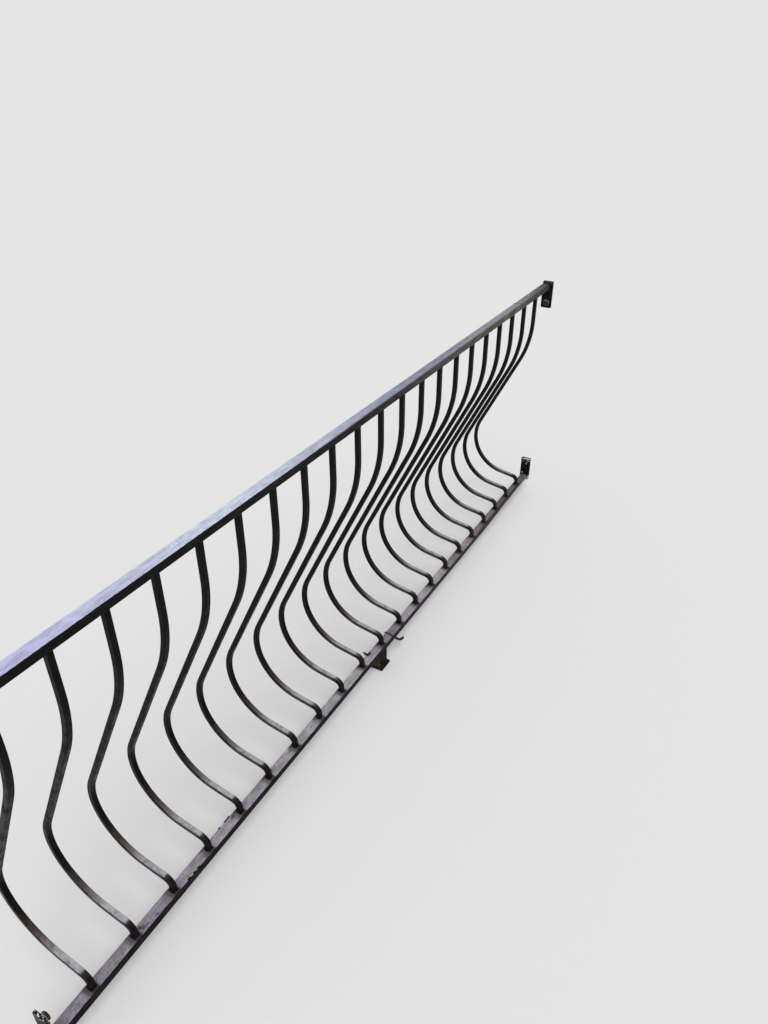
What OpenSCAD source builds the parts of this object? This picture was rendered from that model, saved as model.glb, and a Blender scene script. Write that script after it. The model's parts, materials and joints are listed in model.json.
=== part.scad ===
// Iron balcony railing with bellied balusters of square bar, between two side walls.
// +X runs along the rails, +Y points outward over the drop, +Z is up.
// The origin is on the underside of the foot plate, below the middle baluster.

/* [Railing] */
// Number of balusters
bar_count = 21; // [7:2:31]
// Distance between baluster centres
bar_pitch = 110; // [80:1:140]
// From the last baluster's centre to the wall at the lower lugs
end_gap = 100; // [60:1:140]
// How far the wall at the upper lugs stands back from the wall at the lower ones
upper_setback = 20; // [0:1:40]
// Clear height between the two rails
clear_h = 755; // [660:5:900]

/* [Balusters] */
// Side of the square bar
bar_w = 12; // [8:1:16]
// Rolled corner radius of the square bar
bar_edge_r = 1.2; // [0.5:0.1:2]
// Reach of the belly in front of the rails, at the bar's centre
belly_reach = 187; // [140:1:230]
// Radius of the belly, at the bar's centre
belly_r = 139; // [100:1:175]
// Upward slope of the run from the foot to the belly, in degrees
run_slope = 9; // [4:1:16]
// Radius of the tight bend at the foot, at the bar's centre
foot_bend_r = 21; // [10:1:24]
// Upright end below the tight bend
foot_end_h = 12; // [2:1:20]
// Radius of the upper bend, at the bar's centre
upper_bend_r = 340; // [120:5:360]
// Upright length under the top rail
upright_h = 88; // [30:1:100]

/* [Rails] */
// Width of the top rail
top_rail_w = 26; // [20:1:50]
// Thickness of the top rail
top_rail_t = 20; // [8:1:30]
// Width of the bottom rail
bottom_rail_w = 26; // [20:1:50]
// Thickness of the bottom rail
bottom_rail_t = 22; // [8:1:30]
// Rolled corner radius of the rails
rail_edge_r = 2; // [0.5:0.25:3]

/* [Wall lugs] */
// Width of a lug
lug_w = 38; // [34:1:60]
// Thickness of a lug
lug_t = 6; // [4:0.5:10]
// Shift of the upper lugs from the rail's centre line toward the balcony
upper_lug_shift = 4; // [0:0.5:4]
// Shift of the lower lugs from the rail's centre line toward the balcony
lower_lug_shift = 1; // [0:0.5:4]
// Corner radius of a lug
lug_corner_r = 4; // [1:0.5:6]
// Height of an upper lug's head over the top rail
upper_lug_head = 8; // [0:0.5:20]
// Length of a lug past the upper rail's underside
upper_lug_drop = 68; // [40:1:120]
// Length of a lug past the lower rail's top face
lower_lug_rise = 75; // [40:1:120]
// From an upper lug's free end to its bolt hole's centre
upper_bolt_edge = 19; // [14:1:24]
// From a lower lug's free end to its bolt hole's centre
lower_bolt_edge = 14; // [14:1:24]
// Thread diameter of the wall bolts
bolt_d = 10; // [6:1:14]
// Extra diameter of a bolt hole over its bolt
bolt_clearance = 1; // [0.5:0.5:2]

/* [Middle foot] */
// Height of the bottom rail's underside over the slab
foot_h = 49; // [30:1:120]
// Length of the foot post along the rail
foot_post_x = 44; // [20:1:60]
// Depth of the foot post across the rail
foot_post_y = 30; // [20:1:60]
// Wall of the foot post
foot_post_wall = 3; // [2:0.5:5]
// Outer corner radius of the foot post
foot_post_r = 4; // [2:0.5:8]
// Shift of the foot from the middle baluster, along -X
foot_shift = 12; // [0:1:25]
// Rim of the foot plate past the post, along the rail
foot_rim_x = 3; // [2:1:30]
// Rim of the foot plate past the post, across the rail
foot_rim_y = 8; // [2:1:30]
// Thickness of the foot plate
foot_plate_t = 6; // [4:0.5:12]
// Corner radius of the foot plate
foot_plate_r = 3; // [1:0.5:6]

/* [Hidden] */
$fn = 64;
half_turn = 180;
quarter_turn = 90;

function two_digits(i) = str(i < 10 ? "0" : "", i);
BARS = [for (i = [1:bar_count]) str("baluster_", two_digits(i))];

// Heights
bottom_rail_z = foot_h;
seat_z = bottom_rail_z + bottom_rail_t;
top_rail_z = seat_z + clear_h;
top_z = top_rail_z + top_rail_t;

// Half of the opening between the walls, and the rails' lengths between their lugs
lower_wall_x = (bar_count - 1) / 2 * bar_pitch + end_gap;
upper_wall_x = lower_wall_x + upper_setback;
top_rail_l = 2 * (upper_wall_x - lug_t);
bottom_rail_l = 2 * (lower_wall_x - lug_t);

// Lugs, from the end at the rail to the free end
upper_lug_l = upper_lug_head + top_rail_t + upper_lug_drop;
lower_lug_l = bottom_rail_t + lower_lug_rise;
bolt_hole_d = bolt_d + bolt_clearance;

// Foot post between the slab's plate and the bottom rail
foot_post_h = foot_h - foot_plate_t;
least_bore_r = 0.5;
foot_post_bore_r = max(foot_post_r - foot_post_wall, least_bore_r);

// The bar's line, as [y, z] from its seat on the bottom rail.
// A bearing is the angle from straight up, positive toward the belly.
run_bearing = quarter_turn - run_slope;
foot_bend_c = [foot_bend_r, foot_end_h];
run_start = foot_bend_c + foot_bend_r * [-cos(run_bearing), sin(run_bearing)];
belly_y = belly_reach - belly_r;
run_end_y = belly_y + belly_r * cos(run_bearing);
run_l = (run_end_y - run_start[0]) / sin(run_bearing);
run_end = run_start + run_l * [sin(run_bearing), cos(run_bearing)];
belly_c = [belly_y, run_end[1] + belly_r * sin(run_bearing)];

// A straight piece reaches a little into each bend and is a hair slimmer than it
bend_lap = 0.1;
bend_ease = 0.005;

// The long straight touches the belly's circle and the upper bend's circle from opposite sides.
upper_bend_c = [upper_bend_r, clear_h - upright_h];
span = upper_bend_c - belly_c;
lean = atan2(span[1], span[0]) - acos((upper_bend_r + belly_r) / norm(span));
straight_l = sqrt(span[0] * span[0] + span[1] * span[1] - pow(upper_bend_r + belly_r, 2));
straight_start = belly_c + belly_r * [cos(lean), sin(lean)];

iron = [0.10, 0.10, 0.11];
worn_iron = [0.30, 0.28, 0.30];
rusty_iron = [0.24, 0.15, 0.09];

// Rectangle with true arcs at its corners
module rounded_rect(w, h, r) {
    square([w - 2 * r, h], center = true);
    square([w, h - 2 * r], center = true);
    for (x = [-1, 1], y = [-1, 1]) {
        translate([x * (w / 2 - r), y * (h / 2 - r)]) circle(r);
    }
}

module bar_section(width) {
    rounded_rect(width, width, bar_edge_r);
}

// Straight piece of bar from a point on the bar's line, lapped into the bends before and after it
module straight_bar(from, bearing, length, lap_before = bend_lap, lap_after = bend_lap) {
    translate([0, from[0], from[1]])
        rotate([-bearing, 0, 0])
            translate([0, 0, -lap_before])
                linear_extrude(height = lap_before + length + lap_after)
                    bar_section(bar_w - 2 * bend_ease);
}

// Bent piece of bar around a centre; angles are from +Y toward +Z
module bent_bar(centre, radius, from_angle, sweep) {
    translate([0, centre[0], centre[1]])
        rotate([quarter_turn, 0, quarter_turn])
            rotate([0, 0, from_angle])
                rotate_extrude(angle = sweep)
                    translate([radius, 0])
                        bar_section(bar_w);
}

// One bellied baluster, seated between the rails' faces
module baluster(i) {
    color(iron)
    translate([(i - (bar_count + 1) / 2) * bar_pitch, 0, seat_z])
        union() {
            straight_bar([0, 0], 0, foot_end_h, lap_before = 0);
            bent_bar(foot_bend_c, foot_bend_r, half_turn - run_bearing, run_bearing);
            straight_bar(run_start, run_bearing, run_l);
            bent_bar(belly_c, belly_r, -run_bearing, run_bearing + lean);
            straight_bar(straight_start, -lean, straight_l);
            bent_bar(upper_bend_c, upper_bend_r, half_turn, lean);
            straight_bar([0, clear_h - upright_h], 0, upright_h, lap_after = 0);
        }
}

// Flat bar along X with its underside at z
module flat_rail(length, width, thickness, z) {
    color(worn_iron)
    translate([-length / 2, 0, z + thickness / 2])
        rotate([quarter_turn, 0, quarter_turn])
            linear_extrude(height = length)
                rounded_rect(width, thickness, rail_edge_r);
}

module top_rail() {
    flat_rail(top_rail_l, top_rail_w, top_rail_t, top_rail_z);
}

module bottom_rail() {
    flat_rail(bottom_rail_l, bottom_rail_w, bottom_rail_t, bottom_rail_z);
}

// Lug flat on a wall at +X, from its end at the rail at z, up or down to the end with the bolt hole
module wall_lug(wall_x, shift, length, bolt_edge, z, up) {
    color(iron)
    translate([wall_x - lug_t, -shift, z])
        mirror([0, 0, up ? 0 : 1])
            rotate([quarter_turn, 0, quarter_turn])
                linear_extrude(height = lug_t)
                    difference() {
                        translate([0, length / 2]) rounded_rect(lug_w, length, lug_corner_r);
                        translate([0, length - bolt_edge]) circle(d = bolt_hole_d);
                    }
}

module upper_lug() {
    wall_lug(
        upper_wall_x,
        upper_lug_shift,
        upper_lug_l,
        upper_bolt_edge,
        z = top_z + upper_lug_head,
        up = false
    );
}

module lower_lug() {
    wall_lug(
        lower_wall_x,
        lower_lug_shift,
        lower_lug_l,
        lower_bolt_edge,
        z = bottom_rail_z,
        up = true
    );
}

module upper_lug_right() {
    upper_lug();
}

module upper_lug_left() {
    mirror([1, 0, 0]) upper_lug();
}

module lower_lug_right() {
    lower_lug();
}

module lower_lug_left() {
    mirror([1, 0, 0]) lower_lug();
}

// Short tube that carries the bottom rail at the middle
module foot_post() {
    color(rusty_iron)
    translate([-foot_shift, 0, foot_plate_t])
        linear_extrude(height = foot_post_h)
            difference() {
                rounded_rect(foot_post_x, foot_post_y, foot_post_r);
                rounded_rect(
                    foot_post_x - 2 * foot_post_wall,
                    foot_post_y - 2 * foot_post_wall,
                    foot_post_bore_r
                );
            }
}

// Plate that rests on the slab
module foot_plate() {
    color(rusty_iron)
    translate([-foot_shift, 0, 0])
        linear_extrude(height = foot_plate_t)
            rounded_rect(foot_post_x + 2 * foot_rim_x, foot_post_y + 2 * foot_rim_y, foot_plate_r);
}

top_rail();
bottom_rail();
upper_lug_right();
upper_lug_left();
lower_lug_right();
lower_lug_left();
foot_post();
foot_plate();
for (i = [1:bar_count]) {
    baluster(i);
}
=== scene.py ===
import json
import math

import bpy
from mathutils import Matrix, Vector


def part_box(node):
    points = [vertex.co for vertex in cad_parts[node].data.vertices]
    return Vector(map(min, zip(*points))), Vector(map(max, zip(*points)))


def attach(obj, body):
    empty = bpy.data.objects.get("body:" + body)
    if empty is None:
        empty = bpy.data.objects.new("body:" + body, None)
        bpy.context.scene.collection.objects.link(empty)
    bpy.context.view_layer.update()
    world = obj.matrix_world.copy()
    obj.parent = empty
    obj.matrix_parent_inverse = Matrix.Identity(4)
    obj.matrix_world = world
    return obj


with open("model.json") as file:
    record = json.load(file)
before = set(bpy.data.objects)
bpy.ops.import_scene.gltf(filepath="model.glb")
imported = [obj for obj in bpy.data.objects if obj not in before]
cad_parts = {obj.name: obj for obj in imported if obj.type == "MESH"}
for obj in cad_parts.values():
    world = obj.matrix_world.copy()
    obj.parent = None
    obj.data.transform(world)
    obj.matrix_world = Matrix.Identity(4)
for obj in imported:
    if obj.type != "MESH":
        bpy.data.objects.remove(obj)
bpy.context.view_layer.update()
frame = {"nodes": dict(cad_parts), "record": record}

BODY = "root"
MM = 0.001
UP = (0.0, 0.0, 1.0)

# Places that the iron gives: the bars stand on seat_z and reach up to under_z
top_rail_low, top_rail_high = (Vector(corner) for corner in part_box("top_rail"))
bottom_rail_low, bottom_rail_high = (Vector(corner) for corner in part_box("bottom_rail"))
post_low, post_high = (Vector(corner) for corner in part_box("foot_post"))
bar_boxes = [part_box(name) for name in sorted(frame["nodes"]) if name.startswith("baluster")]
bar_x = [(low[0] + high[0]) / 2 for low, high in bar_boxes]
bar_side = bar_boxes[0][1][0] - bar_boxes[0][0][0]
bar_pitch = bar_x[1] - bar_x[0]
rail_underside = bottom_rail_low.z
seat_z = bottom_rail_high.z
top_z = top_rail_high.z
under_z = top_rail_low.z
rail_half = top_rail_high.y

# Colours that follow a rail's length are given for places from -RAIL_REACH to RAIL_REACH
RAIL_REACH = 1.2

# Strength of every finish's bumps; their depth is each finish's own
BUMP_STRENGTH = 0.8

# Camera, solved from the joints of bars and rails
CAMERA_PLACE = (-1.47495, -0.83953, 1.57688)
CAMERA_TURN = (58.2826, -0.0548, -60.5798)
LENS = 26.5587
SENSOR_WIDTH = 36

# Light: world and sun together give an upward face about its written colour
SKY_LIGHT = 0.62
SUN_LIGHT = 1.3
SUN_SOFTNESS = math.radians(40)
SUN_TILT = (math.radians(22), math.radians(-18), 0)
FLOOR_REACH = 60.0
FLOOR_COLOR = (0.80, 0.80, 0.80)
FAR_GREY = (0.788, 0.788, 0.788)

# Paint, as linear colours
BLACK = (0.0022, 0.0022, 0.0026)
DULL_BLACK = (0.0052, 0.0051, 0.0054)
WEATHERED_BLACK = (0.0120, 0.0120, 0.0125)
WIRE_BLACK = (0.012, 0.011, 0.012)
BOLT_BLACK = (0.035, 0.032, 0.030)
# Paler from rubbing and a painted highlight, on the bars' upper corners
RUBBED_AND_GLINT = (0.11, 0.11, 0.12)
WORN_HEAD = (0.115, 0.110, 0.105)
LIME = (0.84, 0.85, 0.83)
GREY_LIME = (0.46, 0.45, 0.43)
OLD_WHITEWASH = (0.55, 0.51, 0.47)
WHITEWASH_COVER = 0.88

# Dirt, water marks, darker and paler patches, and a painted highlight
DARK_BROWN_GREY = (0.022, 0.017, 0.014)
EDGE_DIRT = (0.026, 0.022, 0.020)
FOOT_GRIME = (0.042, 0.037, 0.038)
PIT_GREY = (0.06, 0.058, 0.065)
STAIN_MAUVE = (0.062, 0.050, 0.085)
PALE_SIDE_GREY = (0.086, 0.080, 0.080)
RIM_HIGHLIGHT_GREY = (0.40, 0.395, 0.41)

# Rust and zinc
BROWN_BLACK = (0.0060, 0.0050, 0.0046)
RUST_DARK = (0.024, 0.012, 0.007)
RUST_OLIVE = (0.056, 0.043, 0.026)
RUST_UMBER = (0.075, 0.046, 0.027)
RUST_WARM = (0.12, 0.052, 0.022)
RUST_OCHRE = (0.150, 0.117, 0.068)
ZINC = (0.64, 0.63, 0.60)
DULL_ZINC = (0.30, 0.29, 0.27)

# Shifts of a colour, as factors of red, green and blue
BROWNER = (0.62, 0.54, 0.44)
GREENER = (1.10, 1.22, 0.86)
BLUER = (1.02, 1.0, 1.22)
DARKER = (0.46, 0.44, 0.44)
DROP_GLINT = (1.45, 1.5, 1.45)


class Finish:
    """One finish as a node tree, called f where it is built up.

    Each step gives back the socket that carries its result. The sockets x, y and z are the place
    on the railing in metres, and nx, ny and nz say which way the surface faces.
    """

    def __init__(self, name):
        self.made = bpy.data.materials.new(name)
        self.made.use_nodes = True
        self.tree = self.made.node_tree
        self.shader = self.tree.nodes["Principled BSDF"]
        self.place = self.add("ShaderNodeTexCoord").outputs["Object"]
        self.x, self.y, self.z = self.split(self.place)
        facing = self.add("ShaderNodeNewGeometry").outputs["Normal"]
        self.nx, self.ny, self.nz = self.split(facing)

    def add(self, kind, **settings):
        node = self.tree.nodes.new(kind)
        for key, value in settings.items():
            setattr(node, key, value)
        return node

    def feed(self, socket, value):
        if isinstance(value, bpy.types.NodeSocket):
            self.tree.links.new(value, socket)
        elif socket.type == "RGBA":
            socket.default_value = (*value, 1.0)
        else:
            socket.default_value = value

    def split(self, vector):
        node = self.add("ShaderNodeSeparateXYZ")
        self.feed(node.inputs[0], vector)
        return node.outputs

    def calc(self, operation, first, second=0.0):
        node = self.add("ShaderNodeMath", operation=operation)
        self.feed(node.inputs[0], first)
        self.feed(node.inputs[1], second)
        return node.outputs[0]

    def times(self, *values):
        result = values[0]
        for value in values[1:]:
            result = self.calc("MULTIPLY", result, value)
        return result

    def plus(self, *values):
        result = values[0]
        for value in values[1:]:
            result = self.calc("ADD", result, value)
        return result

    def either(self, first, second):
        return self.calc("MAXIMUM", first, second)

    def rest_of(self, share):
        """What a share from 0 to 1 leaves."""
        return self.calc("SUBTRACT", 1.0, share)

    def apart(self, value, middle=0.0):
        """How far a value lies from a middle one, to either side."""
        if middle:
            value = self.calc("SUBTRACT", value, middle)
        return self.calc("ABSOLUTE", value)

    def step(self, value, low, high, start=0.0, end=1.0):
        """A soft change from start to end while the value goes from low to high."""
        node = self.add("ShaderNodeMapRange", interpolation_type="SMOOTHSTEP")
        self.feed(node.inputs["Value"], value)
        self.feed(node.inputs["From Min"], low)
        self.feed(node.inputs["From Max"], high)
        self.feed(node.inputs["To Min"], start)
        self.feed(node.inputs["To Max"], end)
        return node.outputs[0]

    def coat(self, amount, under, over):
        """The colour under, with an amount from 0 to 1 of the colour over laid on it."""
        node = self.add("ShaderNodeMix", data_type="RGBA")
        self.feed(node.inputs["Factor"], amount)
        self.feed(node.inputs["A"], under)
        self.feed(node.inputs["B"], over)
        return node.outputs["Result"]

    def shade(self, color, factor):
        """The same colour, made darker or paler by a factor, or by one for each of its channels."""
        node = self.add("ShaderNodeMix", data_type="RGBA", blend_type="MULTIPLY")
        self.feed(node.inputs["Factor"], 1.0)
        self.feed(node.inputs["A"], color)
        self.feed(node.inputs["B"], factor)
        return node.outputs["Result"]

    def laid(self, stretch, shift):
        node = self.add("ShaderNodeMapping")
        self.feed(node.inputs["Vector"], self.place)
        self.feed(node.inputs["Location"], shift)
        self.feed(node.inputs["Scale"], stretch)
        return node.outputs[0]

    def noise(self, scale, detail, roughness=0.5, stretch=(1, 1, 1), shift=(0, 0, 0)):
        """Cloudy noise; a scale of 100 gives clouds of about 10 mm."""
        node = self.add("ShaderNodeTexNoise")
        self.feed(node.inputs["Vector"], self.laid(stretch, shift))
        self.feed(node.inputs["Scale"], float(scale))
        self.feed(node.inputs["Detail"], detail)
        self.feed(node.inputs["Roughness"], roughness)
        return node.outputs[0]

    def patches(self, scale, low, high, start=0.0, end=1.0, **cloud):
        """Patches cut out of noise, from start outside them to end inside."""
        return self.step(self.noise(scale, **cloud), low, high, start, end)

    def specks(self, scale, size, share, shift=(0, 0, 0)):
        """Round specks of a given size in a share of the cells."""
        node = self.add("ShaderNodeTexVoronoi")
        self.feed(node.inputs["Vector"], self.laid((1, 1, 1), shift))
        self.feed(node.inputs["Scale"], float(scale))
        red, _, _ = self.split(node.outputs["Color"])
        chosen = self.step(red, share, share - 0.02)
        return self.times(self.step(node.outputs["Distance"], size, size * 0.6), chosen)

    def along(self, value, low, high, stops):
        """Colours that change with a value from low to high; a stop is a value and its colour."""
        even = self.add("ShaderNodeMapRange")
        self.feed(even.inputs["Value"], value)
        self.feed(even.inputs["From Min"], low)
        self.feed(even.inputs["From Max"], high)
        node = self.add("ShaderNodeValToRGB")
        self.feed(node.inputs[0], even.outputs[0])
        knots = node.color_ramp.elements
        knots.remove(knots[1])
        for place, color in stops:
            share = (place - low) / (high - low)
            knot = knots[0] if place == stops[0][0] else knots.new(share)
            knot.position = share
            knot.color = (*color, 1.0)
        return node.outputs[0]

    def along_rail(self, stops):
        """Colours that change along a rail; a stop is a place on X and its colour."""
        return self.along(self.x, -RAIL_REACH, RAIL_REACH, stops)

    def from_nearest_bar(self):
        """Place along the rail from the nearest bar's centre."""
        turned = self.plus(self.x, bar_pitch * (len(bar_x) + 0.5))
        turned = self.calc("MODULO", turned, bar_pitch)
        return self.calc("SUBTRACT", turned, bar_pitch / 2)

    def mottled_rust(self, scale):
        """Dark rust, clouded with umber."""
        return self.coat(self.noise(scale, detail=2), RUST_DARK, RUST_UMBER)

    def done(self, color, roughness, height, depth, gloss):
        """The finished material; depth is how deep its bumps are, in metres."""
        self.feed(self.shader.inputs["Base Color"], color)
        self.feed(self.shader.inputs["Roughness"], roughness)
        self.feed(self.shader.inputs["Specular IOR Level"], gloss)
        bump = self.add("ShaderNodeBump")
        self.feed(bump.inputs["Strength"], BUMP_STRENGTH)
        self.feed(bump.inputs["Distance"], depth)
        self.feed(bump.inputs["Height"], height)
        self.feed(self.shader.inputs["Normal"], bump.outputs[0])
        return self.made


def bar_black(f):
    """Black gloss of the bars, duller on the side toward the weather and grimy low down."""
    black = f.coat(f.patches(30, 0.35, 0.65, detail=4), BLACK, DULL_BLACK)
    weather_side = f.times(f.step(f.nx, -0.5, -0.9), f.step(f.x, -0.85, -0.30, 0.0, 0.6))
    black = f.coat(weather_side, black, WEATHERED_BLACK)
    foot = f.step(f.z, seat_z + 0.040, seat_z + 0.022)
    grime = f.times(foot, f.patches(85, 0.38, 0.60, detail=5, shift=(2, 6, 0)))
    toward_right = f.step(f.x, 0.15, 0.65, 0.06, 0.6)
    return f.coat(f.times(grime, toward_right), black, FOOT_GRIME)


def bar_film_and_sheen(f):
    """Colour of the wet film on the bars with a painted sky sheen, paler the flatter they lie, and browner
    toward the right end.
    """
    # The more a face looks up, the paler it is: partly the wet film, partly a painted sky sheen
    film = f.along(f.nz, 0.2, 1.0, [
        (0.26, (0.004, 0.004, 0.004)),
        (0.55, (0.012, 0.009, 0.008)),
        (0.75, (0.052, 0.039, 0.034)),
        (0.84, (0.092, 0.073, 0.070)),
        (0.91, (0.165, 0.147, 0.152)),
        (0.956, (0.255, 0.246, 0.257)),
        (0.985, (0.368, 0.363, 0.386)),
    ])
    grain = f.patches(150, 0.28, 0.72, 0.74, 1.24, detail=6, roughness=0.66, stretch=(1, 0.5, 1))
    film = f.shade(film, grain)
    right_end = f.step(f.x, 0.25, 1.05)
    return f.coat(f.times(right_end, 0.40), film, f.shade(film, BROWNER))


def bar_paint():
    """Black gloss on the square bars: a wet grey film with a painted sky sheen where they lie flat, corners
    paler from rubbing and a painted highlight, rusty feet.
    """
    f = Finish("bar_paint")
    black = bar_black(f)

    # Upper corners of the leaning lengths paler from rubbing and a painted highlight
    across = f.times(f.nx, f.nx)
    corner = f.times(across, f.rest_of(across), 4.0)
    rubbed_and_glint = f.patches(18, 0.40, 0.66, detail=5, shift=(3, 1, 2))
    upper_side = f.step(f.nz, -0.05, 0.35)
    black = f.coat(f.times(f.step(corner, 0.5, 0.95), rubbed_and_glint, upper_side, 0.35), black, RUBBED_AND_GLINT)

    # The wet film and its painted sky sheen are thin on the foot's bend and full past it, sooner toward the
    # left end
    ragged = f.plus(f.y, f.times(f.noise(120, detail=4, shift=(0, 5, 3)), 0.010))
    left_end = f.step(f.x, -0.10, -0.65)
    film_start = f.step(left_end, 0.0, 1.0, 0.0185, 0.0170)
    film_full = f.step(left_end, 0.0, 1.0, 0.0285, 0.0215)
    film_on_bend = f.step(left_end, 0.0, 1.0, 0.34, 0.16)
    film_reach = f.step(ragged, film_start, film_full, film_on_bend, 1.0)
    worn_off = f.patches(70, 0.62, 0.54, detail=6, roughness=0.65, shift=(5, 0, 0))
    wet = f.times(f.step(f.nz, 0.18, 0.40), film_reach, f.plus(0.62, f.times(worn_off, 0.38)))
    color = f.coat(wet, black, bar_film_and_sheen(f))

    # Paler patches on the side faces of the lying lengths, and a painted highlight along their upper corners
    lying = f.times(f.step(f.z, seat_z + 0.062, seat_z + 0.044), f.step(f.y, 0.014, 0.030))
    pale_side_patches = f.patches(75, 0.32, 0.62, 0.35, 1.0, detail=5, roughness=0.62, shift=(4, 4, 1))
    side_face = f.times(f.step(f.apart(f.nx), 0.55, 0.85), lying, pale_side_patches)
    color = f.coat(f.times(side_face, 0.85), color, PALE_SIDE_GREY)
    # Painted highlight along the upper corners of the lying lengths
    rim_highlight = f.times(f.step(corner, 0.45, 0.90), f.step(f.nz, 0.42, 0.62), lying, worn_off)
    color = f.coat(f.times(rim_highlight, 0.65), color, RIM_HIGHLIGHT_GREY)

    # Rust spots, thickest at the feet
    foot = f.step(f.z, seat_z + 0.026, seat_z + 0.002)
    spots = f.patches(130, 0.64, 0.72, detail=6, roughness=0.7, shift=(0, 4, 0))
    foot_spots = f.patches(150, 0.50, 0.64, detail=5, roughness=0.7, shift=(0, 0, 7))
    old_rust = f.step(f.x, -0.60, 0.30, 0.30, 1.0)
    rust = f.times(f.either(f.times(spots, 0.7), f.times(foot_spots, foot, 0.6)), old_rust)
    color = f.coat(rust, color, f.mottled_rust(300))

    roughness = f.step(f.plus(f.noise(60, detail=3), f.times(rust, 0.4)), 0.3, 0.9, 0.30, 0.72)
    waves = f.noise(55, detail=2, shift=(1, 1, 1))
    height = f.plus(waves, f.times(rust, 0.6), f.times(f.noise(420, detail=3), 0.35))
    return f.done(color, roughness, height, depth=0.0005, gloss=0.05)


def rail_side(f, shift, stops):
    """Colour of a rail's sides, black with brown patches, and where the patches are."""
    cloud = f.patches(22, 0.35, 0.68, detail=4, stretch=(0.5, 1, 1), shift=(shift, 0, 0))
    color = f.shade(f.along_rail(stops), f.step(cloud, 0.0, 1.0, 0.65, 1.4))
    brown = f.patches(38, 0.56, 0.70, detail=6, roughness=0.68, stretch=(0.6, 1, 1), shift=(0, shift, 0))
    return f.coat(f.times(brown, f.step(f.x, -0.6, 0.3, 0.12, 0.45)), color, RUST_DARK), brown


def rail_chalk_and_reflection(f, grain, drops):
    """Blue grey chalky paint on the hand rail's upper face with a painted sky reflection, pits and wet drops.
    """
    # Paler toward the left end: a painted reflection of the sky on the chalky paint
    chalk_and_reflection = f.along_rail([
        (-1.10, (0.45, 0.46, 0.68)),
        (-0.60, (0.58, 0.63, 0.76)),
        (0.00, (0.29, 0.31, 0.42)),
        (0.35, (0.23, 0.23, 0.30)),
        (0.80, (0.25, 0.25, 0.29)),
        (1.18, (0.05, 0.05, 0.04)),
    ])
    chalk_and_reflection = f.shade(chalk_and_reflection, f.step(grain, 0.30, 0.72, 1.20, 0.74))
    streaks = f.patches(26, 0.36, 0.66, 0.96, 1.04, detail=4, stretch=(0.12, 2.2, 1), shift=(0, 0, 3))
    chalk_and_reflection = f.shade(chalk_and_reflection, streaks)
    # Greener outer edge: a painted fringe of reflected light
    outer_edge = f.step(f.y, rail_half * 0.35, rail_half * 0.80)
    green_edge_fringe = f.times(outer_edge, f.patches(60, 0.35, 0.6, detail=3), 0.38)
    chalk_and_reflection = f.coat(green_edge_fringe, chalk_and_reflection, f.shade(chalk_and_reflection, GREENER))
    inner_edge = f.step(f.y, rail_half * -0.55, rail_half * -0.85)
    chalk_and_reflection = f.coat(f.times(inner_edge, 0.40), chalk_and_reflection, f.shade(chalk_and_reflection, BLUER))
    dark_line = f.times(f.step(f.y, -0.0088, -0.0112), f.step(f.x, -0.45, -0.05))
    chalk_and_reflection = f.coat(dark_line, chalk_and_reflection, f.shade(chalk_and_reflection, DARKER))
    pits = f.patches(230, 0.60, 0.70, detail=4, roughness=0.7, stretch=(0.6, 1, 1), shift=(9, 0, 0))
    chalk_and_reflection = f.coat(f.times(pits, 0.55), chalk_and_reflection, PIT_GREY)
    # Drops made paler: a painted glint of the sky on the water
    return f.coat(drops, chalk_and_reflection, f.shade(chalk_and_reflection, DROP_GLINT))


def top_rail_paint():
    """Hand rail: rain drops and chalky paint with a painted sky reflection on the upper face, black below."""
    f = Finish("top_rail_paint")
    side, brown = rail_side(f, 2.0, [
        (-0.10, (0.002, 0.002, 0.002)),
        (0.20, (0.031, 0.029, 0.028)),
        (0.80, (0.073, 0.070, 0.065)),
        (1.10, (0.018, 0.017, 0.016)),
    ])
    rained_on = f.times(f.step(f.x, -0.76, -0.66), f.step(f.x, -0.28, -0.42), 0.9)
    drops = f.either(f.specks(210, 0.34, 0.16), f.specks(95, 0.22, 0.20, shift=(0.3, 0.2, 0)))
    drops = f.times(drops, f.plus(rained_on, 0.12))
    grain = f.noise(105, detail=7, roughness=0.72, stretch=(0.28, 1, 1))
    chalk_and_reflection = rail_chalk_and_reflection(f, grain, drops)

    flat = f.step(f.nz, 0.25, 0.56)
    ragged = f.plus(f.apart(f.y), f.times(f.noise(140, detail=5, shift=(0, 2, 0)), 0.0018))
    chipped = f.step(ragged, rail_half + 0.0004, rail_half + 0.0010)
    color = f.coat(f.times(flat, f.rest_of(chipped)), side, chalk_and_reflection)

    roughness = f.patches(90, 0.25, 0.8, 0.28, 0.62, detail=4, stretch=(0.3, 1, 1))
    height = f.plus(f.times(drops, 1.2), f.times(brown, 0.3), f.times(grain, 0.8))
    return f.done(color, roughness, height, depth=0.0004, gloss=0.08)


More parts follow.
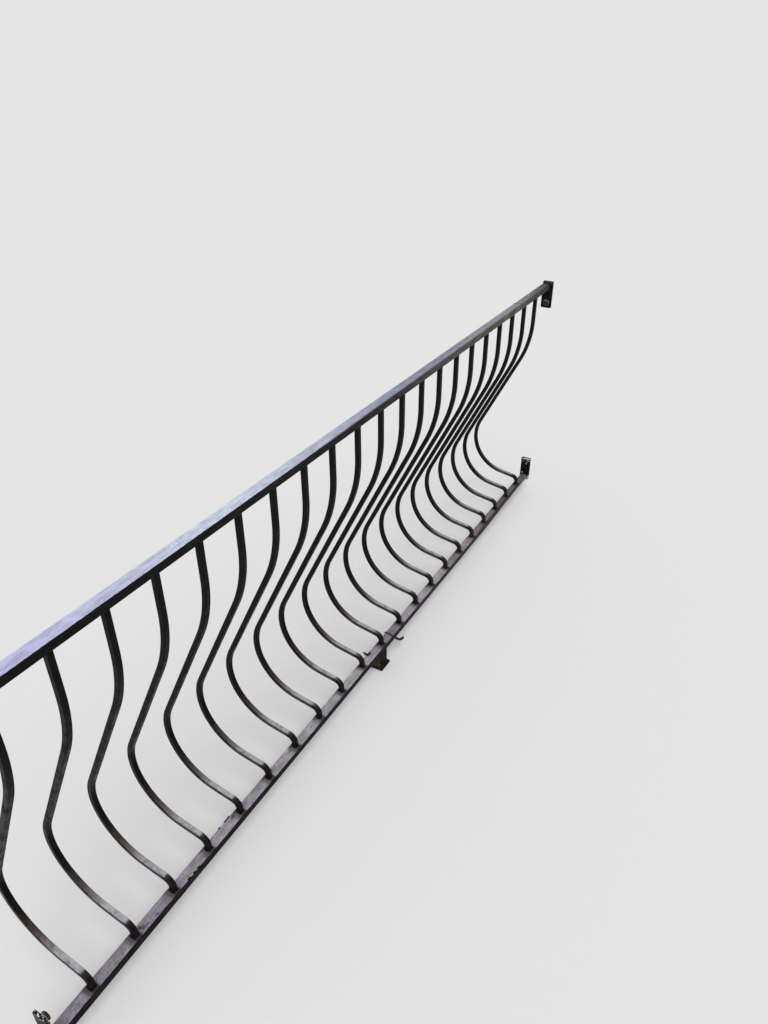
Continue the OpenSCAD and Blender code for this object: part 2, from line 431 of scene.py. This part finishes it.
def bottom_rail_film(f, grain):
    """Colour of the mauve grey film on the bottom rail, darker round each bar's foot."""
    film = f.along_rail([
        (-1.10, (0.26, 0.23, 0.29)),
        (-0.25, (0.38, 0.36, 0.40)),
        (0.60, (0.34, 0.30, 0.32)),
        (0.80, (0.23, 0.20, 0.21)),
        (1.20, (0.12, 0.09, 0.08)),
    ])

    # Dirtier stretches: the centre and half length of each, and the share of the colour it keeps
    stretches = ((0.03, 0.12, 0.64), (0.50, 0.10, 0.70), (0.71, 0.10, 0.74), (0.93, 0.08, 0.62))
    for place, half_length, kept in stretches:
        film = f.shade(film, f.step(f.apart(f.x, place), half_length * 0.2, half_length, kept, 1.0))

    film = f.shade(film, f.step(grain, 0.30, 0.72, 1.22, 0.62))
    broad = f.noise(34, detail=6, roughness=0.66, stretch=(0.4, 1, 1), shift=(2, 2, 0))
    film = f.shade(film, f.step(broad, 0.34, 0.66, 0.85, 1.10))
    fine = f.patches(260, 0.36, 0.64, 1.14, 0.86, detail=3, roughness=0.6, shift=(1, 5, 2))
    film = f.shade(film, fine)
    crumbs = f.patches(280, 0.60, 0.68, detail=4, roughness=0.72, shift=(0, 0, 5))
    film = f.coat(f.times(crumbs, 0.7), film, DARK_BROWN_GREY)

    # Film darker round each foot, more of it on the left side
    near_bar = f.from_nearest_bar()
    reach = f.plus(near_bar, f.times(f.noise(90, detail=4, shift=(7, 0, 0)), 0.016))
    left_of_foot_dark = f.times(f.step(reach, -0.018, -0.002), f.step(near_bar, 0.012, 0.004))
    foot_ring_dark = f.step(f.apart(near_bar), 0.012, 0.007)
    dark_round_foot = f.either(f.times(left_of_foot_dark, 0.8), foot_ring_dark)
    film = f.coat(f.times(dark_round_foot, 0.88), film, DARK_BROWN_GREY)

    # Black line of dirt along the inner edge toward the right end
    dirty_stretch = f.times(f.step(f.x, 0.60, 0.82), f.step(f.x, 1.16, 1.06), f.step(f.y, -0.0050, -0.0090))
    return f.coat(f.times(dirty_stretch, 0.85), film, EDGE_DIRT)


def stained(f, film, edge_wave):
    """The film with dark stains near the left end."""
    # Centre and half size of each stain, along and across the rail
    stains = (
        (-0.6810, 0.0040, 0.0052, 0.0026),
        (-0.9745, 0.0030, 0.0034, 0.0042),
        (-0.9700, -0.0030, 0.0042, 0.0034),
        (-0.9600, -0.0042, 0.0046, 0.0020),
    )
    for place_x, place_y, half_x, half_y in stains:
        along = f.times(f.apart(f.x, place_x), 1.0 / half_x)
        across = f.times(f.apart(f.y, place_y), 1.0 / half_y)
        away = f.plus(f.either(along, across), f.times(edge_wave, 1.2))
        film = f.coat(f.times(f.step(away, 1.9, 1.2), 0.85), film, STAIN_MAUVE)
    return film


def edge_bites(f, edge_wave):
    """Where the film is bitten away near the left end, most of all along the inner edge."""
    bites = f.step(f.x, -0.76, -0.80, 0.0, 0.24)
    for place, half_length in ((-0.8450, 0.0042), (-0.8290, 0.0032), (-0.8155, 0.0036)):
        away = f.plus(f.apart(f.x, place), f.times(edge_wave, 0.004))
        bites = f.either(bites, f.times(f.step(away, half_length + 0.0030, half_length + 0.0012), 0.75))
    inner_edge = f.step(f.y, 0.002, -0.004, 0.35, 1.0)
    return f.times(bites, inner_edge)


def bottom_rail_paint():
    """Bottom rail: mauve grey film on the upper face, chipped edges, whitewash low on the inner side."""
    f = Finish("bottom_rail_paint")
    side, brown = rail_side(f, 6.0, [
        (-0.10, (0.003, 0.003, 0.005)),
        (0.20, (0.008, 0.008, 0.010)),
        (1.20, (0.045, 0.038, 0.036)),
    ])
    grain = f.noise(95, detail=7, roughness=0.74, stretch=(0.4, 1, 1))
    edge_wave = f.noise(120, detail=5, roughness=0.65, shift=(0, 8, 0))
    film = stained(f, bottom_rail_film(f, grain), edge_wave)

    # The film laps over the rolled corners in the middle of the rail and less toward its ends
    from_middle = f.apart(f.x)
    lap_start = f.step(from_middle, 0.42, 0.66, 0.12, 0.40)
    lap_full = f.step(from_middle, 0.42, 0.66, 0.42, 0.72)
    flat = f.step(f.nz, lap_start, lap_full)
    ragged = f.plus(f.apart(f.y), f.times(edge_wave, 0.0040), f.times(edge_bites(f, edge_wave), 0.0062))
    chipped = f.step(ragged, rail_half + 0.0020, rail_half + 0.0028)
    cover = f.times(flat, f.rest_of(chipped))
    color = f.coat(cover, side, film)
    rust_spots = f.patches(110, 0.55, 0.66, detail=4, shift=(4, 4, 0))
    rust_edge = f.times(rust_spots, f.step(f.nz, 0.25, 0.7), chipped)
    color = f.coat(f.times(rust_edge, 0.5), color, RUST_DARK)

    # Whitewash lapped up the inner side toward the right end, ragged at its upper edge
    wash_top = f.step(f.x, 0.64, 1.14, rail_underside, rail_underside + 0.0135)
    wash_wave = f.noise(75, detail=6, roughness=0.7, stretch=(0.6, 1, 1), shift=(3, 0, 9))
    wash_wave = f.times(f.calc("SUBTRACT", wash_wave, 0.5), 0.016)
    under_wash_top = f.calc("SUBTRACT", wash_top, f.plus(f.z, wash_wave))
    washed = f.times(f.step(under_wash_top, -0.0006, 0.0010), f.step(f.ny, -0.30, -0.70))
    color = f.coat(f.times(washed, WHITEWASH_COVER), color, OLD_WHITEWASH)

    roughness = f.patches(80, 0.25, 0.8, 0.38, 0.75, detail=4, stretch=(0.4, 1, 1))
    height = f.plus(f.times(cover, 0.7), f.times(brown, 0.4), f.times(grain, 0.9))
    return f.done(color, roughness, height, depth=0.0005, gloss=0.06)


def lug_paint():
    """Thick black paint over the lugs, rusting in patches and most of all at the edges."""
    f = Finish("lug_paint")
    color = f.coat(f.patches(45, 0.35, 0.7, detail=4), BLACK, DULL_BLACK)
    edge = f.step(f.apart(f.nx), 0.95, 0.55)
    patch = f.patches(90, 0.50, 0.64, detail=6, roughness=0.7)
    rust = f.either(f.times(edge, patch), f.times(patch, 0.5))
    color = f.coat(f.times(rust, 0.75), color, f.mottled_rust(260))

    # The head over the hand rail is worn as grey as the rail's end
    head = f.step(f.z, top_z - 0.005, top_z + 0.001)
    worn = f.patches(95, 0.34, 0.58, 0.25, 1.0, detail=5, roughness=0.65, shift=(6, 0, 0))
    color = f.coat(f.times(head, worn, 0.9), color, WORN_HEAD)

    # Lime flecks on the upper ends of the lower lugs
    lower_lug_end = 0.146
    high = f.step(f.z, lower_lug_end - 0.024, lower_lug_end - 0.008)
    under_upper_lug = f.step(f.z, lower_lug_end + 0.054, lower_lug_end + 0.014)
    upper_end = f.times(high, under_upper_lug)
    flecks = f.patches(330, 0.56, 0.62, detail=3, roughness=0.6, shift=(0, 0, 2))
    color = f.coat(f.times(flecks, upper_end, 0.9), color, LIME)

    # Whitewash on the right lower lug's bottom corner, beside the rail's inner side
    wash_wave = f.times(f.noise(90, detail=5, roughness=0.7, shift=(4, 0, 6)), 0.014)
    washed = f.times(
        f.step(f.plus(f.z, wash_wave), seat_z + 0.006, seat_z + 0.002),
        f.step(f.y, -0.0105, -0.0130),
        f.step(f.x, 0.0, 0.1),
        f.step(f.nx, 0.4, 0.1),
    )
    color = f.coat(f.times(washed, WHITEWASH_COVER), color, OLD_WHITEWASH)

    roughness = f.patches(120, 0.3, 0.8, 0.40, 0.80, detail=3)
    height = f.plus(f.noise(70, detail=3, shift=(2, 0, 1)), f.times(patch, 0.7))
    return f.done(color, roughness, height, depth=0.0008, gloss=0.08)


def foot_rust():
    """Foot under the bottom rail: black paint lost to brown scale, with rust run down to the plate."""
    f = Finish("foot_rust")
    color = f.coat(f.patches(60, 0.35, 0.68, detail=5, roughness=0.6), DULL_BLACK, RUST_DARK)
    end_side = f.step(f.apart(f.nx), 0.5, 0.9)
    inner_side = f.step(f.ny, -0.5, -0.9)
    color = f.coat(f.times(inner_side, 0.8), color, BROWN_BLACK)
    worn = f.patches(48, 0.30, 0.58, 0.25, 1.0, detail=4, roughness=0.6, shift=(7, 3, 1))
    worn_end = f.times(end_side, worn)
    color = f.coat(f.times(worn_end, 0.85), color, RUST_OLIVE)

    # Scale, thicker low down and on the sides that face along the rail
    scale = f.patches(85, 0.48, 0.66, detail=6, roughness=0.72, stretch=(1, 1, 0.5), shift=(1, 0, 0))
    low = f.step(f.z, 0.045, 0.0)
    amount = f.plus(f.times(low, 0.15), f.times(end_side, 0.35), 0.12)
    color = f.coat(f.times(scale, amount), color, RUST_UMBER)
    runs = f.patches(120, 0.44, 0.60, detail=5, roughness=0.62, stretch=(1, 1, 0.16), shift=(3, 2, 0))
    color = f.coat(f.times(runs, worn_end, 0.70), color, RUST_OCHRE)
    flakes = f.patches(210, 0.62, 0.72, detail=4, roughness=0.7, shift=(0, 6, 0))
    color = f.coat(f.times(flakes, f.plus(0.15, f.times(end_side, 0.20))), color, RUST_WARM)

    roughness = f.step(scale, 0.0, 1.0, 0.62, 0.92)
    height = f.plus(f.times(scale, 1.2), f.noise(160, detail=4, shift=(5, 5, 5)))
    return f.done(color, roughness, height, depth=0.0012, gloss=0.08)


def weld_paint():
    """Lumpy weld beads, painted over and rusting through."""
    f = Finish("weld_paint")
    color = f.coat(f.patches(120, 0.35, 0.65, detail=3), BLACK, DULL_BLACK)
    rust = f.patches(170, 0.50, 0.64, detail=5, roughness=0.7, shift=(3, 3, 0))
    color = f.coat(f.times(rust, 0.6), color, f.mottled_rust(400))
    roughness = f.patches(200, 0.3, 0.7, 0.35, 0.70, detail=2)
    return f.done(color, roughness, f.noise(380, detail=4), depth=0.0006, gloss=0.08)


def bolt_paint():
    """Bolt heads under old black paint, brown in patches."""
    f = Finish("bolt_paint")
    color = f.coat(f.patches(140, 0.4, 0.7, detail=4), DULL_BLACK, BOLT_BLACK)
    rust = f.patches(190, 0.50, 0.64, detail=5, roughness=0.7, shift=(0, 3, 0))
    color = f.coat(f.times(rust, 0.7), color, f.mottled_rust(300))
    roughness = f.patches(160, 0.3, 0.7, 0.40, 0.72, detail=2)
    return f.done(color, roughness, f.noise(300, detail=4), depth=0.0004, gloss=0.25)


def washer_zinc():
    """Galvanised washers, bright where the paint missed them."""
    f = Finish("washer_zinc")
    color = f.coat(f.noise(260, detail=4, roughness=0.6), DULL_ZINC, ZINC)
    paint = f.patches(120, 0.54, 0.64, detail=5, roughness=0.65, shift=(2, 0, 0))
    color = f.coat(f.times(paint, 0.9), color, DULL_BLACK)
    roughness = f.patches(320, 0.3, 0.7, 0.42, 0.68, detail=3)
    return f.done(color, roughness, f.noise(340, detail=3), depth=0.0003, gloss=0.4)


def wire_rust():
    """Old tie wire, black with rust."""
    f = Finish("tie_wire")
    color = f.coat(f.patches(200, 0.45, 0.65, detail=4), WIRE_BLACK, RUST_DARK)
    roughness = f.patches(260, 0.3, 0.7, 0.45, 0.75, detail=2)
    return f.done(color, roughness, f.noise(500, detail=3), depth=0.0002, gloss=0.2)


def lime_white():
    """Flecks of lime wash and old white paint."""
    f = Finish("lime_fleck")
    color = f.coat(f.patches(420, 0.45, 0.75, detail=4), LIME, GREY_LIME)
    roughness = f.patches(300, 0.3, 0.7, 0.65, 0.9, detail=2)
    return f.done(color, roughness, f.noise(600, detail=3), depth=0.0003, gloss=0.2)


# The CAD pieces get their finishes by the words in their names
paint_of = {
    "top_rail": top_rail_paint(),
    "bottom_rail": bottom_rail_paint(),
    "baluster": bar_paint(),
    "lug": lug_paint(),
    "foot": foot_rust(),
}
for name, node in frame["nodes"].items():
    chosen = next(paint for word, paint in paint_of.items() if word in name)
    node.data.materials.clear()
    node.data.materials.append(chosen)

# Finishes of what this script adds
weld_finish = weld_paint()
bolt_finish = bolt_paint()
zinc_finish = washer_zinc()
wire_finish = wire_rust()
lime_finish = lime_white()


def set_out(name, data):
    """A new object at the origin, in the scene."""
    made = bpy.data.objects.new(name, data)
    bpy.context.scene.collection.objects.link(made)
    return made


def finished_mesh(host):
    """The shape that an object's curve or modifier gives, as a plain mesh."""
    scene_now = bpy.context.evaluated_depsgraph_get()
    return bpy.data.meshes.new_from_object(host.evaluated_get(scene_now))


def fitted(name, mesh):
    """The mesh as a piece of the railing."""
    mesh.name = name
    made = set_out(name, mesh)
    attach(made, BODY)


class Fitter:
    """A Geometry Nodes tree that sets small iron on its seats, built a step at a time."""

    def __init__(self, name):
        self.name = name
        self.tree = bpy.data.node_groups.new(name, "GeometryNodeTree")
        self.tree.is_modifier = True
        self.sizes = {}
        self.tree.interface.new_socket("Seats", in_out="INPUT", socket_type="NodeSocketGeometry")
        self.tree.interface.new_socket("Iron", in_out="OUTPUT", socket_type="NodeSocketGeometry")
        self.start = self.tree.nodes.new("NodeGroupInput")

    def size(self, name, value):
        """A named input of the tree, which gets this value when the tree runs."""
        made = self.tree.interface.new_socket(name, in_out="INPUT", socket_type="NodeSocketFloat")
        self.sizes[made.identifier] = value
        return self.start.outputs[name]

    def add(self, kind, inputs=None, **settings):
        node = self.tree.nodes.new(kind)
        for key, value in settings.items():
            setattr(node, key, value)
        for key, value in (inputs or {}).items():
            if isinstance(value, bpy.types.NodeSocket):
                self.tree.links.new(value, node.inputs[key])
            else:
                node.inputs[key].default_value = value
        return node

    def shape(self, kind, inputs, **settings):
        """The shape that a new node gives."""
        return self.add(kind, inputs, **settings).outputs[0]

    def calc(self, operation, first, second):
        return self.add("ShaderNodeMath", {0: first, 1: second}, operation=operation).outputs[0]

    def half(self, value):
        return self.calc("MULTIPLY", value, 0.5)

    def raised(self, shape, height):
        """The shape, moved up by a height."""
        offset = self.add("ShaderNodeCombineXYZ", {"Z": height}).outputs[0]
        return self.shape("GeometryNodeTransform", {"Geometry": shape, "Translation": offset})

    def joined(self, *shapes):
        node = self.add("GeometryNodeJoinGeometry")
        for shape in shapes:
            self.tree.links.new(shape, node.inputs[0])
        return node.outputs[0]

    def seated(self, shape, scale=(1.0, 1.0, 1.0)):
        """The shape on every seat, its +Z along the seat's facing."""
        facing = self.add("GeometryNodeInputNamedAttribute", {"Name": "facing"}, data_type="FLOAT_VECTOR")
        turn = self.add("FunctionNodeAlignRotationToVector", {"Vector": facing.outputs[0]}, axis="Z")
        placed = self.shape("GeometryNodeInstanceOnPoints", {
            "Points": self.start.outputs["Seats"],
            "Instance": shape,
            "Rotation": turn.outputs[0],
            "Scale": scale,
        })
        return self.shape("GeometryNodeRealizeInstances", {"Geometry": placed})

    def roughened(self, shape, grain, depth, seed):
        """Surface pushed in and out by a noise with a fixed seed."""
        noise = self.add("ShaderNodeTexNoise", {
            "Vector": self.add("GeometryNodeInputPosition").outputs[0],
            "W": seed,
            "Scale": grain,
            "Detail": 2.0,
        }, noise_dimensions="4D")
        centred = self.add("ShaderNodeVectorMath", {
            0: noise.outputs["Color"],
            1: (0.5, 0.5, 0.5),
        }, operation="SUBTRACT").outputs[0]
        push = self.add("ShaderNodeVectorMath", {0: centred, "Scale": depth}, operation="SCALE").outputs[0]
        return self.shape("GeometryNodeSetPosition", {"Geometry": shape, "Offset": push})

    def made_of(self, shape, material, smooth=True):
        shaded = self.shape("GeometryNodeSetShadeSmooth", {"Geometry": shape, "Shade Smooth": smooth})
        return self.shape("GeometryNodeSetMaterial", {"Geometry": shaded, "Material": material})

    def piece(self, seats, shape):
        """Runs the tree on the seats and keeps the result as one piece."""
        end = self.tree.nodes.new("NodeGroupOutput")
        self.tree.links.new(shape, end.inputs[0])
        seat_mesh = bpy.data.meshes.new(self.name + "_seats")
        seat_mesh.from_pydata([place for place, _ in seats], [], [])
        facing = seat_mesh.attributes.new("facing", "FLOAT_VECTOR", "POINT")
        for value, (_, direction) in zip(facing.data, seats):
            value.vector = direction
        host = set_out(self.name + "_seats", seat_mesh)
        modifier = host.modifiers.new(self.name, "NODES")
        modifier.node_group = self.tree
        for identifier, value in self.sizes.items():
            modifier[identifier] = value
        mesh = finished_mesh(host)
        host.modifiers.remove(modifier)
        bpy.data.objects.remove(host)
        fitted(self.name, mesh)


def weld_rings(name, seats, width, depth, bead, seed, lump=0.9):
    """Weld beads laid round a rectangular foot on each seat; the width runs along the seat's own X."""
    fit = Fitter(name)
    outline = fit.shape("GeometryNodeCurvePrimitiveQuadrilateral", {
        "Width": fit.size("Foot width", width),
        "Height": fit.size("Foot depth", depth),
    })
    rounded = fit.shape("GeometryNodeFilletCurve", {
        "Curve": outline,
        "Radius": fit.size("Corner radius", 1.8 * MM),
        "Count": 2,
        "Limit Radius": True,
    }, mode="POLY")
    stepped = fit.shape("GeometryNodeResampleCurve", {"Curve": rounded, "Count": 36})
    profile = fit.shape("GeometryNodeCurvePrimitiveCircle", {
        "Radius": fit.size("Bead radius", bead),
        "Resolution": 7,
    })
    tube = fit.shape("GeometryNodeCurveToMesh", {"Curve": stepped, "Profile Curve": profile})
    rough = fit.roughened(
        fit.seated(tube),
        grain=fit.size("Lump grain", 190.0),
        depth=fit.size("Lump depth", bead * lump),
        seed=fit.size("Seed", float(seed)),
    )
    fit.piece(seats, fit.made_of(rough, weld_finish))


def lug_bolts(seats):
    """M10 bolts through the lugs: shank, washer and chamfered hexagon head."""
    fit = Fitter("wall_bolts")
    lug = fit.size("Lug thickness", 6 * MM)
    shank_width = fit.size("Shank diameter", 10 * MM)
    washer_width = fit.size("Washer diameter", 21 * MM)
    washer_height = fit.size("Washer thickness", 2 * MM)
    head_width = fit.size("Head across corners", 19.6 * MM)
    head_height = fit.size("Head height", 4.6 * MM)
    chamfer_height = fit.size("Chamfer height", 1.8 * MM)
    chamfer_share = fit.size("Chamfer top share", 0.80)

    def disc(sides, width, height, middle):
        """A cylinder or prism with its middle at a height over the seat."""
        made = fit.shape("GeometryNodeMeshCylinder", {
            "Vertices": sides,
            "Radius": fit.half(width),
            "Depth": height,
        })
        return fit.raised(made, middle)

    shank = disc(20, shank_width, lug, middle=fit.calc("MULTIPLY", lug, -0.5))
    washer = disc(28, washer_width, washer_height, middle=fit.half(washer_height))
    head_middle = fit.calc("ADD", washer_height, fit.half(head_height))
    head = disc(6, head_width, head_height, head_middle)
    head_radius = fit.half(head_width)
    chamfer = fit.shape("GeometryNodeMeshCone", {
        "Vertices": 6,
        "Radius Top": fit.calc("MULTIPLY", head_radius, chamfer_share),
        "Radius Bottom": head_radius,
        "Depth": chamfer_height,
    })
    chamfer = fit.raised(chamfer, fit.calc("ADD", washer_height, head_height))

    iron = fit.made_of(fit.seated(fit.joined(shank, head, chamfer)), bolt_finish, smooth=False)
    zinc = fit.made_of(fit.seated(washer), zinc_finish, smooth=False)
    fit.piece(seats, fit.joined(iron, zinc))


def beads(name, seats, radius, finish, seed):
    """Flattened drops, such as weld spatter and flecks of lime, each of its own size."""
    fit = Fitter(name)
    drop = fit.shape("GeometryNodeMeshIcoSphere", {
        "Radius": fit.size("Bead radius", radius),
        "Subdivisions": 2,
    })
    chance = fit.add("FunctionNodeRandomValue", data_type="FLOAT_VECTOR")
    chance.inputs["Min"].default_value = (0.55, 0.55, 0.40)
    chance.inputs["Max"].default_value = (1.35, 1.35, 0.80)
    chance.inputs["Seed"].default_value = 11
    rough = fit.roughened(
        fit.seated(drop, scale=chance.outputs["Value"]),
        grain=fit.size("Lump grain", 400.0),
        depth=fit.size("Lump depth", radius * 0.5),
        seed=fit.size("Seed", float(seed)),
    )
    fit.piece(seats, fit.made_of(rough, finish))


def wire(name, points, radius):
    """A bent wire through given points, in millimetres, closed at both ends."""
    curve = bpy.data.curves.new(name, "CURVE")
    curve.dimensions = "3D"
    curve.bevel_depth = radius
    curve.bevel_resolution = 2
    curve.resolution_u = 8
    curve.use_fill_caps = True
    spline = curve.splines.new("NURBS")
    spline.points.add(len(points) - 1)
    for point, place in zip(spline.points, points):
        point.co = (*(value * MM for value in place), 1.0)
    spline.use_endpoint_u = True
    spline.order_u = 3
    shaped = set_out(name, curve)
    mesh = finished_mesh(shaped)
    bpy.data.objects.remove(shaped)
    mesh.materials.clear()
    mesh.materials.append(wire_finish)
    for polygon in mesh.polygons:
        polygon.use_smooth = True
    fitted(name, mesh)


def twisted(path, spread, turns, start_turn, aside):
    """One strand of a twisted pair round a path that never runs along the direction aside, in millimetres."""
    steps = 36
    strand = []
    for step in range(steps + 1):
        share = step / steps * (len(path) - 1)
        leg = min(int(share), len(path) - 2)
        here, after = Vector(path[leg]), Vector(path[leg + 1])
        middle = here.lerp(after, share - leg)
        ahead = (after - here).normalized()
        across = ahead.cross(Vector(aside)).normalized()
        angle = start_turn + 2 * math.pi * turns * step / steps
        strand.append(middle + spread * (across * math.cos(angle) + across.cross(ahead) * math.sin(angle)))
    return strand


def upright(z, *places):
    """Seats that face up at one height, from places along and across the rails."""
    return [((x, y, z), UP) for x, y in places]


# Welds at both ends of the bars
bar_seats = [((x, 0.0, z), UP) for x in bar_x for z in (seat_z, under_z)]
weld_rings("bar_welds", bar_seats, bar_side, bar_side, bead=1.9 * MM, seed=3)

# Welds at the rails' ends: the bead's outline stands in the plane of the lug's face
for label, low, high in (
    ("top", top_rail_low, top_rail_high),
    ("bottom", bottom_rail_low, bottom_rail_high),
):
    middle_z = (low.z + high.z) / 2
    ends = [((x, 0.0, middle_z), (math.copysign(1.0, x), 0.0, 0.0)) for x in (low.x, high.x)]
    weld_rings(
        label + "_rail_welds",
        ends,
        width=high.z - low.z,
        depth=2 * rail_half,
        bead=2.1 * MM,
        seed=7,
        lump=1.0,
    )

# Welds at the foot post's ends
post_x = (post_low.x + post_high.x) / 2
post_length = post_high.x - post_low.x
post_depth = post_high.y - post_low.y
for level, z, depth, bead, seed in (
    ("low", post_low.z, post_depth, 2.2 * MM, 5),
    ("high", post_high.z, 2 * rail_half, 2.0 * MM, 6),
):
    weld_rings("foot_weld_" + level, upright(z, (post_x, 0.0)), post_length, depth, bead, seed)

# Bolts, seated on the lugs' free faces at the record's bores
bolt_seats = []
for mount in frame["record"]["mounts"]:
    if mount["kind"] == "bore":
        place = Vector(mount["pos_m"])
        inward = Vector(mount["axis"])
        half_lug = mount["dims"]["length_mm"] * MM / 2
        bolt_seats.append((tuple(place + inward * half_lug), tuple(inward)))
lug_bolts(bolt_seats)

# Weld drops and lumps on the rails
spatter_seats = upright(top_z, (1.198, -0.006), (1.207, 0.002), (-1.201, 0.005))
spatter_seats += upright(
    seat_z,
    (-0.935, -0.006),
    (0.018, -0.009),
    (0.312, 0.009),
    (0.571, -0.009),
    (0.862, -0.008),
    (1.083, 0.008),
    (-0.452, 0.009),
    (-0.236, -0.010),
)
corner_x = top_rail_high.x - 0.0025
corner_seats = [
    ((side * corner_x, y, top_z + 0.0005), (-0.6 * side, 0.0, 0.8))
    for side, y in ((1, -0.0115), (1, 0.0), (1, 0.0085), (-1, -0.008), (-1, 0.002), (-1, 0.011))
]
knob_seats = [((0.921, rail_half - 0.0005, top_z - 0.002), (0.0, 0.7, 0.7))]
lump_seats = [
    ((x, rail_half, seat_z - 0.001), (0.0, 0.9, 0.4))
    for x in (-0.7195, -0.6985, -0.6925, -0.6865)
]
for name, seats, radius, seed in (
    ("weld_spatter", spatter_seats, 1.5 * MM, 4),
    ("corner_weld", corner_seats, 3.6 * MM, 12),
    ("edge_knob", knob_seats, 3.6 * MM, 9),
    ("edge_lumps", lump_seats, 3.6 * MM, 6),
):
    beads(name, seats, radius, weld_finish, seed)

# Lime on the rails
fleck_seats = upright(
    top_z,
    (1.050, 0.009),
    (1.057, 0.011),
    (1.032, 0.004),
    (-0.612, 0.003),
    (-0.585, -0.004),
    (-0.548, 0.006),
    (-0.497, 0.000),
    (-0.655, -0.007),
)
fleck_seats += upright(seat_z, (0.226, -0.004), (-0.512, 0.005), (1.174, -0.0105))
fleck_seats.append(((1.187, -0.0130, 0.0545), (0.0, -1.0, 0.0)))
beads("lime_flecks", fleck_seats, radius=1.7 * MM, finish=lime_finish, seed=2)

# Lime on the lower lugs' free faces, from places across the lug and heights
lime_x = bottom_rail_high.x - 0.0002
right_lime = (
    (0.0062, 0.1380),
    (0.0035, 0.1420),
    (-0.0040, 0.1432),
    (-0.0098, 0.1405),
    (-0.0128, 0.1432),
    (-0.0170, 0.1418),
    (-0.0006, 0.1232),
    (-0.0045, 0.1205),
    (0.0125, 0.1405),
    (0.0090, 0.0773),
)
left_lime = ((0.009, 0.141), (-0.012, 0.139), (0.002, 0.121))
lime_seats = [((lime_x, y, z), (-1.0, 0.0, 0.0)) for y, z in right_lime]
lime_seats += [((-lime_x, y, z), (1.0, 0.0, 0.0)) for y, z in left_lime]
beads("lug_lime", lime_seats, radius=2.7 * MM, finish=lime_finish, seed=8)

# Old wire tie round the bottom rail, with its twisted tail and end, in millimetres
tie_path = [
    (49.8, 14.9, 58),
    (49.8, 15.0, 69.4),
    (49.0, 13.2, 73.4),
    (47.2, 3.6, 72.8),
    (46.4, -4.0, 72.8),
    (44.4, -12.2, 73.4),
    (45.2, -15.6, 69.6),
    (49.6, -16.0, 63.6),
    (55.5, -18.6, 57.6),
]
tail_path = [
    (54, -18.7, 60.5),
    (63, -18.7, 50.2),
    (74, -18.7, 39.0),
    (86, -18.7, 29.6),
    (96, -18.7, 25.0),
    (104, -18.7, 24.4),
]
end_path = [
    (-54.5, 6.8, 75.0),
    (-61, 7.2, 75.0),
    (-67.5, 9.4, 75.0),
    (-67.0, 15.0, 75.3),
    (-64.0, 22.0, 76.2),
]
wire("tie_wire", tie_path, radius=1.8 * MM)
for label, start_turn in (("a", 0.0), ("b", math.pi)):
    tail = twisted(tail_path, spread=2.2, turns=3.5, start_turn=start_turn, aside=(0, 1, 0))
    wire("tie_tail_" + label, tail, radius=2.0 * MM)
    end = twisted(end_path, spread=2.0, turns=1.5, start_turn=start_turn, aside=(0, 0, 1))
    wire("tie_end_" + label, end, radius=2.0 * MM)


# Studio
def studio_floor():
    corners = [(x * FLOOR_REACH, y * FLOOR_REACH, 0) for x, y in ((-1, -1), (1, -1), (1, 1), (-1, 1))]
    mesh = bpy.data.meshes.new("studio_floor")
    mesh.from_pydata(corners, [], [(0, 1, 2, 3)])
    paint = bpy.data.materials.new("studio_floor")
    paint.use_nodes = True
    shader = paint.node_tree.nodes["Principled BSDF"]
    shader.inputs["Base Color"].default_value = (*FLOOR_COLOR, 1)
    shader.inputs["Roughness"].default_value = 1.0
    shader.inputs["Specular IOR Level"].default_value = 0.0
    mesh.materials.append(paint)
    floor = set_out("studio_floor", mesh)


def studio_sky():
    """A white sky that lights the railing, seen by the camera and in gloss as the far grey."""
    world = bpy.data.worlds.new("studio")
    bpy.context.scene.world = world
    world.use_nodes = True
    tree = world.node_tree
    light = tree.nodes["Background"]
    light.inputs["Color"].default_value = (1, 1, 1, 1)
    light.inputs["Strength"].default_value = SKY_LIGHT
    seen = tree.nodes.new("ShaderNodeBackground")
    seen.inputs["Color"].default_value = (*FAR_GREY, 1)
    rays = tree.nodes.new("ShaderNodeLightPath")
    shown = rays.outputs["Is Camera Ray"]
    for other in ("Is Glossy Ray", "Is Transmission Ray"):
        both = tree.nodes.new("ShaderNodeMath")
        both.operation = "ADD"
        both.use_clamp = True
        tree.links.new(shown, both.inputs[0])
        tree.links.new(rays.outputs[other], both.inputs[1])
        shown = both.outputs[0]
    mix = tree.nodes.new("ShaderNodeMixShader")
    tree.links.new(shown, mix.inputs[0])
    tree.links.new(light.outputs[0], mix.inputs[1])
    tree.links.new(seen.outputs[0], mix.inputs[2])
    tree.links.new(mix.outputs[0], tree.nodes["World Output"].inputs[0])


def studio_sun():
    data = bpy.data.lights.new("sky_softbox", "SUN")
    data.energy = SUN_LIGHT
    data.angle = SUN_SOFTNESS
    sun = set_out("sky_softbox", data)
    sun.rotation_euler = SUN_TILT


def photo_camera():
    data = bpy.data.cameras.new("camera")
    data.sensor_width = SENSOR_WIDTH
    data.lens = LENS
    camera = set_out("camera", data)
    camera.location = CAMERA_PLACE
    camera.rotation_euler = [math.radians(angle) for angle in CAMERA_TURN]
    bpy.context.scene.camera = camera


studio_floor()
studio_sky()
studio_sun()
photo_camera()
bpy.context.scene.view_settings.view_transform = "Standard"
